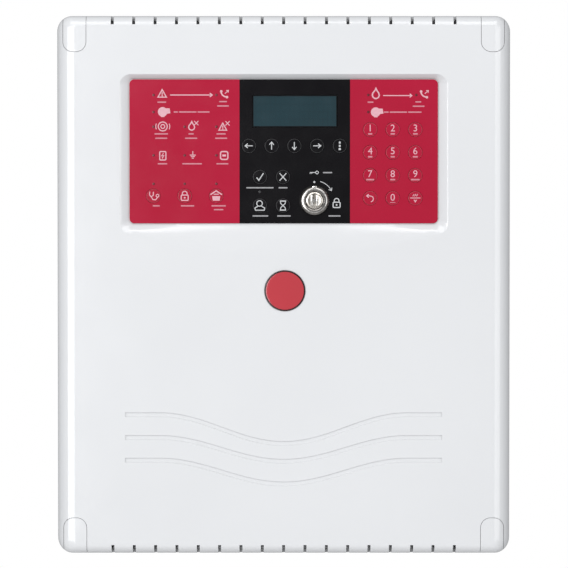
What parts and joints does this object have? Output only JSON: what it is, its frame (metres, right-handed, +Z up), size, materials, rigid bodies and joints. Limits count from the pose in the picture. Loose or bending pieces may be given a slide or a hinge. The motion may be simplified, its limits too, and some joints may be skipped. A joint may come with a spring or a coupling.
{
  "type": "fire alarm control panel",
  "caption": "Wall-mounted fire alarm control panel: white hinged enclosure with a red and black keypad fascia, display and key switch over a main board, supply and batteries.",
  "frame": {"origin": "centre of the rear box's flat back face, which lies against the wall", "axes": "+Z up, +X to the right seen from the front, +Y into the wall, so the front faces -Y"},
  "size_m": [0.324, 0.1091, 0.384],
  "materials": {
    "enclosure": "moulded, glossy white",
    "zinc_steel": "zinc plated",
    "nickel": "polished nickel",
    "fascia_print": "printed film, red with a black middle",
    "key_red": "printed, red",
    "key_black": "printed, black",
    "carrier": "moulded, dark",
    "board": "green solder mask",
    "display": "dark liquid crystal window",
    "emblem_enamel": "domed enamel",
    "terminal_green": "moulded",
    "terminal_grey": "moulded",
    "battery_case": "moulded, dark grey",
    "lead_red": "insulated wire",
    "lead_black": "insulated wire",
    "ribbon_grey": "flat cable"
  },
  "bodies": {
    "rear_box": {"rear_box": "enclosure", "hinge_pin_upper": "zinc_steel", "hinge_pin_lower": "zinc_steel", "main_board": "board", "terminal_row_upper": "terminal_green", "terminal_row_lower": "terminal_green", "power_supply_cage": "zinc_steel", "power_supply_board": "board", "mains_terminal": "terminal_grey", "fuse_holder": "carrier", "battery_left": "battery_case", "battery_right": "battery_case", "battery_strap": "zinc_steel", "battery_lead_red": "lead_red", "battery_lead_black": "lead_black", "battery_link": "lead_black", "ribbon_cable": "ribbon_grey"},
    "cover": {"front_cover": "enclosure", "fascia_film": "fascia_print", "keypad_carrier": "carrier", "keypad_board": "board", "display_module": "carrier", "display_window": "display", "emblem": "emblem_enamel", "key_switch_body": "nickel", "key_switch_nut": "nickel", "key_switch_contacts": "carrier"},
    "rotor": {"key_switch_rotor": "nickel"},
    "cap_upper_left": {"corner_cap_upper_left": "enclosure"},
    "screw_upper_left": {"cover_screw_upper_left": "zinc_steel"},
    "cap_upper_right": {"corner_cap_upper_right": "enclosure"},
    "screw_upper_right": {"cover_screw_upper_right": "zinc_steel"},
    "cap_lower_left": {"corner_cap_lower_left": "enclosure"},
    "screw_lower_left": {"cover_screw_lower_left": "zinc_steel"},
    "cap_lower_right": {"corner_cap_lower_right": "enclosure"},
    "screw_lower_right": {"cover_screw_lower_right": "zinc_steel"},
    "button_1": {"key_1": "key_red"},
    "button_2": {"key_2": "key_red"},
    "button_3": {"key_3": "key_red"},
    "button_4": {"key_4": "key_red"},
    "button_5": {"key_5": "key_red"},
    "button_6": {"key_6": "key_red"},
    "button_7": {"key_7": "key_red"},
    "button_8": {"key_8": "key_red"},
    "button_9": {"key_9": "key_red"},
    "button_back": {"key_back": "key_red"},
    "button_0": {"key_0": "key_red"},
    "button_enter": {"key_enter": "key_red"},
    "button_left": {"key_left": "key_black"},
    "button_up": {"key_up": "key_black"},
    "button_down": {"key_down": "key_black"},
    "button_right": {"key_right": "key_black"},
    "button_menu": {"key_menu": "key_black"},
    "button_accept": {"key_accept": "key_black"},
    "button_cancel": {"key_cancel": "key_black"},
    "button_attend": {"key_attend": "key_black"},
    "button_delay": {"key_delay": "key_black"},
    "button_test": {"key_test": "key_red"},
    "button_disable": {"key_disable": "key_red"},
    "button_sounder": {"key_sounder": "key_red"}
  },
  "joints": [
    {"name": "access_key_turn", "type": "hinge", "parent": "cover", "child": "rotor", "pos_m": [0.022, -0.1, 0.0604], "axis": [0, 1, 0], "range_deg": [0, 90]},
    {"name": "cover_hinge", "type": "hinge", "parent": "rear_box", "child": "cover", "pos_m": [-0.159, -0.0605, 0], "axis": [0, 0, -1], "range_deg": [0, 100]},
    {"name": "corner_cap_upper_left_pull", "type": "slide", "parent": "cover", "child": "cap_upper_left", "axis": [0, -1, 0], "range_m": [0, 0.018]},
    {"name": "cover_screw_upper_left_turn", "type": "hinge", "parent": "cover", "child": "screw_upper_left", "pos_m": [-0.149, -0.09, 0.179], "axis": [0, 1, 0], "range_deg": [0, 90]},
    {"name": "corner_cap_upper_right_pull", "type": "slide", "parent": "cover", "child": "cap_upper_right", "axis": [0, -1, 0], "range_m": [0, 0.018]},
    {"name": "cover_screw_upper_right_turn", "type": "hinge", "parent": "cover", "child": "screw_upper_right", "pos_m": [0.149, -0.09, 0.179], "axis": [0, 1, 0], "range_deg": [0, 90]},
    {"name": "corner_cap_lower_left_pull", "type": "slide", "parent": "cover", "child": "cap_lower_left", "axis": [0, -1, 0], "range_m": [0, 0.018]},
    {"name": "cover_screw_lower_left_turn", "type": "hinge", "parent": "cover", "child": "screw_lower_left", "pos_m": [-0.149, -0.09, -0.179], "axis": [0, 1, 0], "range_deg": [0, 90]},
    {"name": "corner_cap_lower_right_pull", "type": "slide", "parent": "cover", "child": "cap_lower_right", "axis": [0, -1, 0], "range_m": [0, 0.018]},
    {"name": "cover_screw_lower_right_turn", "type": "hinge", "parent": "cover", "child": "screw_lower_right", "pos_m": [0.149, -0.09, -0.179], "axis": [0, 1, 0], "range_deg": [0, 90]},
    {"name": "press_key_1", "type": "slide", "parent": "cover", "child": "button_1", "axis": [0, 1, 0], "range_m": [0, 0.0004], "stiffness_N_per_m": 400, "springref_m": -0.001},
    {"name": "press_key_2", "type": "slide", "parent": "cover", "child": "button_2", "axis": [0, 1, 0], "range_m": [0, 0.0004], "stiffness_N_per_m": 400, "springref_m": -0.001},
    {"name": "press_key_3", "type": "slide", "parent": "cover", "child": "button_3", "axis": [0, 1, 0], "range_m": [0, 0.0004], "stiffness_N_per_m": 400, "springref_m": -0.001},
    {"name": "press_key_4", "type": "slide", "parent": "cover", "child": "button_4", "axis": [0, 1, 0], "range_m": [0, 0.0004], "stiffness_N_per_m": 400, "springref_m": -0.001},
    {"name": "press_key_5", "type": "slide", "parent": "cover", "child": "button_5", "axis": [0, 1, 0], "range_m": [0, 0.0004], "stiffness_N_per_m": 400, "springref_m": -0.001},
    {"name": "press_key_6", "type": "slide", "parent": "cover", "child": "button_6", "axis": [0, 1, 0], "range_m": [0, 0.0004], "stiffness_N_per_m": 400, "springref_m": -0.001},
    {"name": "press_key_7", "type": "slide", "parent": "cover", "child": "button_7", "axis": [0, 1, 0], "range_m": [0, 0.0004], "stiffness_N_per_m": 400, "springref_m": -0.001},
    {"name": "press_key_8", "type": "slide", "parent": "cover", "child": "button_8", "axis": [0, 1, 0], "range_m": [0, 0.0004], "stiffness_N_per_m": 400, "springref_m": -0.001},
    {"name": "press_key_9", "type": "slide", "parent": "cover", "child": "button_9", "axis": [0, 1, 0], "range_m": [0, 0.0004], "stiffness_N_per_m": 400, "springref_m": -0.001},
    {"name": "press_key_back", "type": "slide", "parent": "cover", "child": "button_back", "axis": [0, 1, 0], "range_m": [0, 0.0004], "stiffness_N_per_m": 400, "springref_m": -0.001},
    {"name": "press_key_0", "type": "slide", "parent": "cover", "child": "button_0", "axis": [0, 1, 0], "range_m": [0, 0.0004], "stiffness_N_per_m": 400, "springref_m": -0.001},
    {"name": "press_key_enter", "type": "slide", "parent": "cover", "child": "button_enter", "axis": [0, 1, 0], "range_m": [0, 0.0004], "stiffness_N_per_m": 400, "springref_m": -0.001},
    {"name": "press_key_left", "type": "slide", "parent": "cover", "child": "button_left", "axis": [0, 1, 0], "range_m": [0, 0.0004], "stiffness_N_per_m": 400, "springref_m": -0.001},
    {"name": "press_key_up", "type": "slide", "parent": "cover", "child": "button_up", "axis": [0, 1, 0], "range_m": [0, 0.0004], "stiffness_N_per_m": 400, "springref_m": -0.001},
    {"name": "press_key_down", "type": "slide", "parent": "cover", "child": "button_down", "axis": [0, 1, 0], "range_m": [0, 0.0004], "stiffness_N_per_m": 400, "springref_m": -0.001},
    {"name": "press_key_right", "type": "slide", "parent": "cover", "child": "button_right", "axis": [0, 1, 0], "range_m": [0, 0.0004], "stiffness_N_per_m": 400, "springref_m": -0.001},
    {"name": "press_key_menu", "type": "slide", "parent": "cover", "child": "button_menu", "axis": [0, 1, 0], "range_m": [0, 0.0004], "stiffness_N_per_m": 400, "springref_m": -0.001},
    {"name": "press_key_accept", "type": "slide", "parent": "cover", "child": "button_accept", "axis": [0, 1, 0], "range_m": [0, 0.0004], "stiffness_N_per_m": 400, "springref_m": -0.001},
    {"name": "press_key_cancel", "type": "slide", "parent": "cover", "child": "button_cancel", "axis": [0, 1, 0], "range_m": [0, 0.0004], "stiffness_N_per_m": 400, "springref_m": -0.001},
    {"name": "press_key_attend", "type": "slide", "parent": "cover", "child": "button_attend", "axis": [0, 1, 0], "range_m": [0, 0.0004], "stiffness_N_per_m": 400, "springref_m": -0.001},
    {"name": "press_key_delay", "type": "slide", "parent": "cover", "child": "button_delay", "axis": [0, 1, 0], "range_m": [0, 0.0004], "stiffness_N_per_m": 400, "springref_m": -0.001},
    {"name": "press_key_test", "type": "slide", "parent": "cover", "child": "button_test", "axis": [0, 1, 0], "range_m": [0, 0.0004], "stiffness_N_per_m": 400, "springref_m": -0.001},
    {"name": "press_key_disable", "type": "slide", "parent": "cover", "child": "button_disable", "axis": [0, 1, 0], "range_m": [0, 0.0004], "stiffness_N_per_m": 400, "springref_m": -0.001},
    {"name": "press_key_sounder", "type": "slide", "parent": "cover", "child": "button_sounder", "axis": [0, 1, 0], "range_m": [0, 0.0004], "stiffness_N_per_m": 400, "springref_m": -0.001}
  ]
}
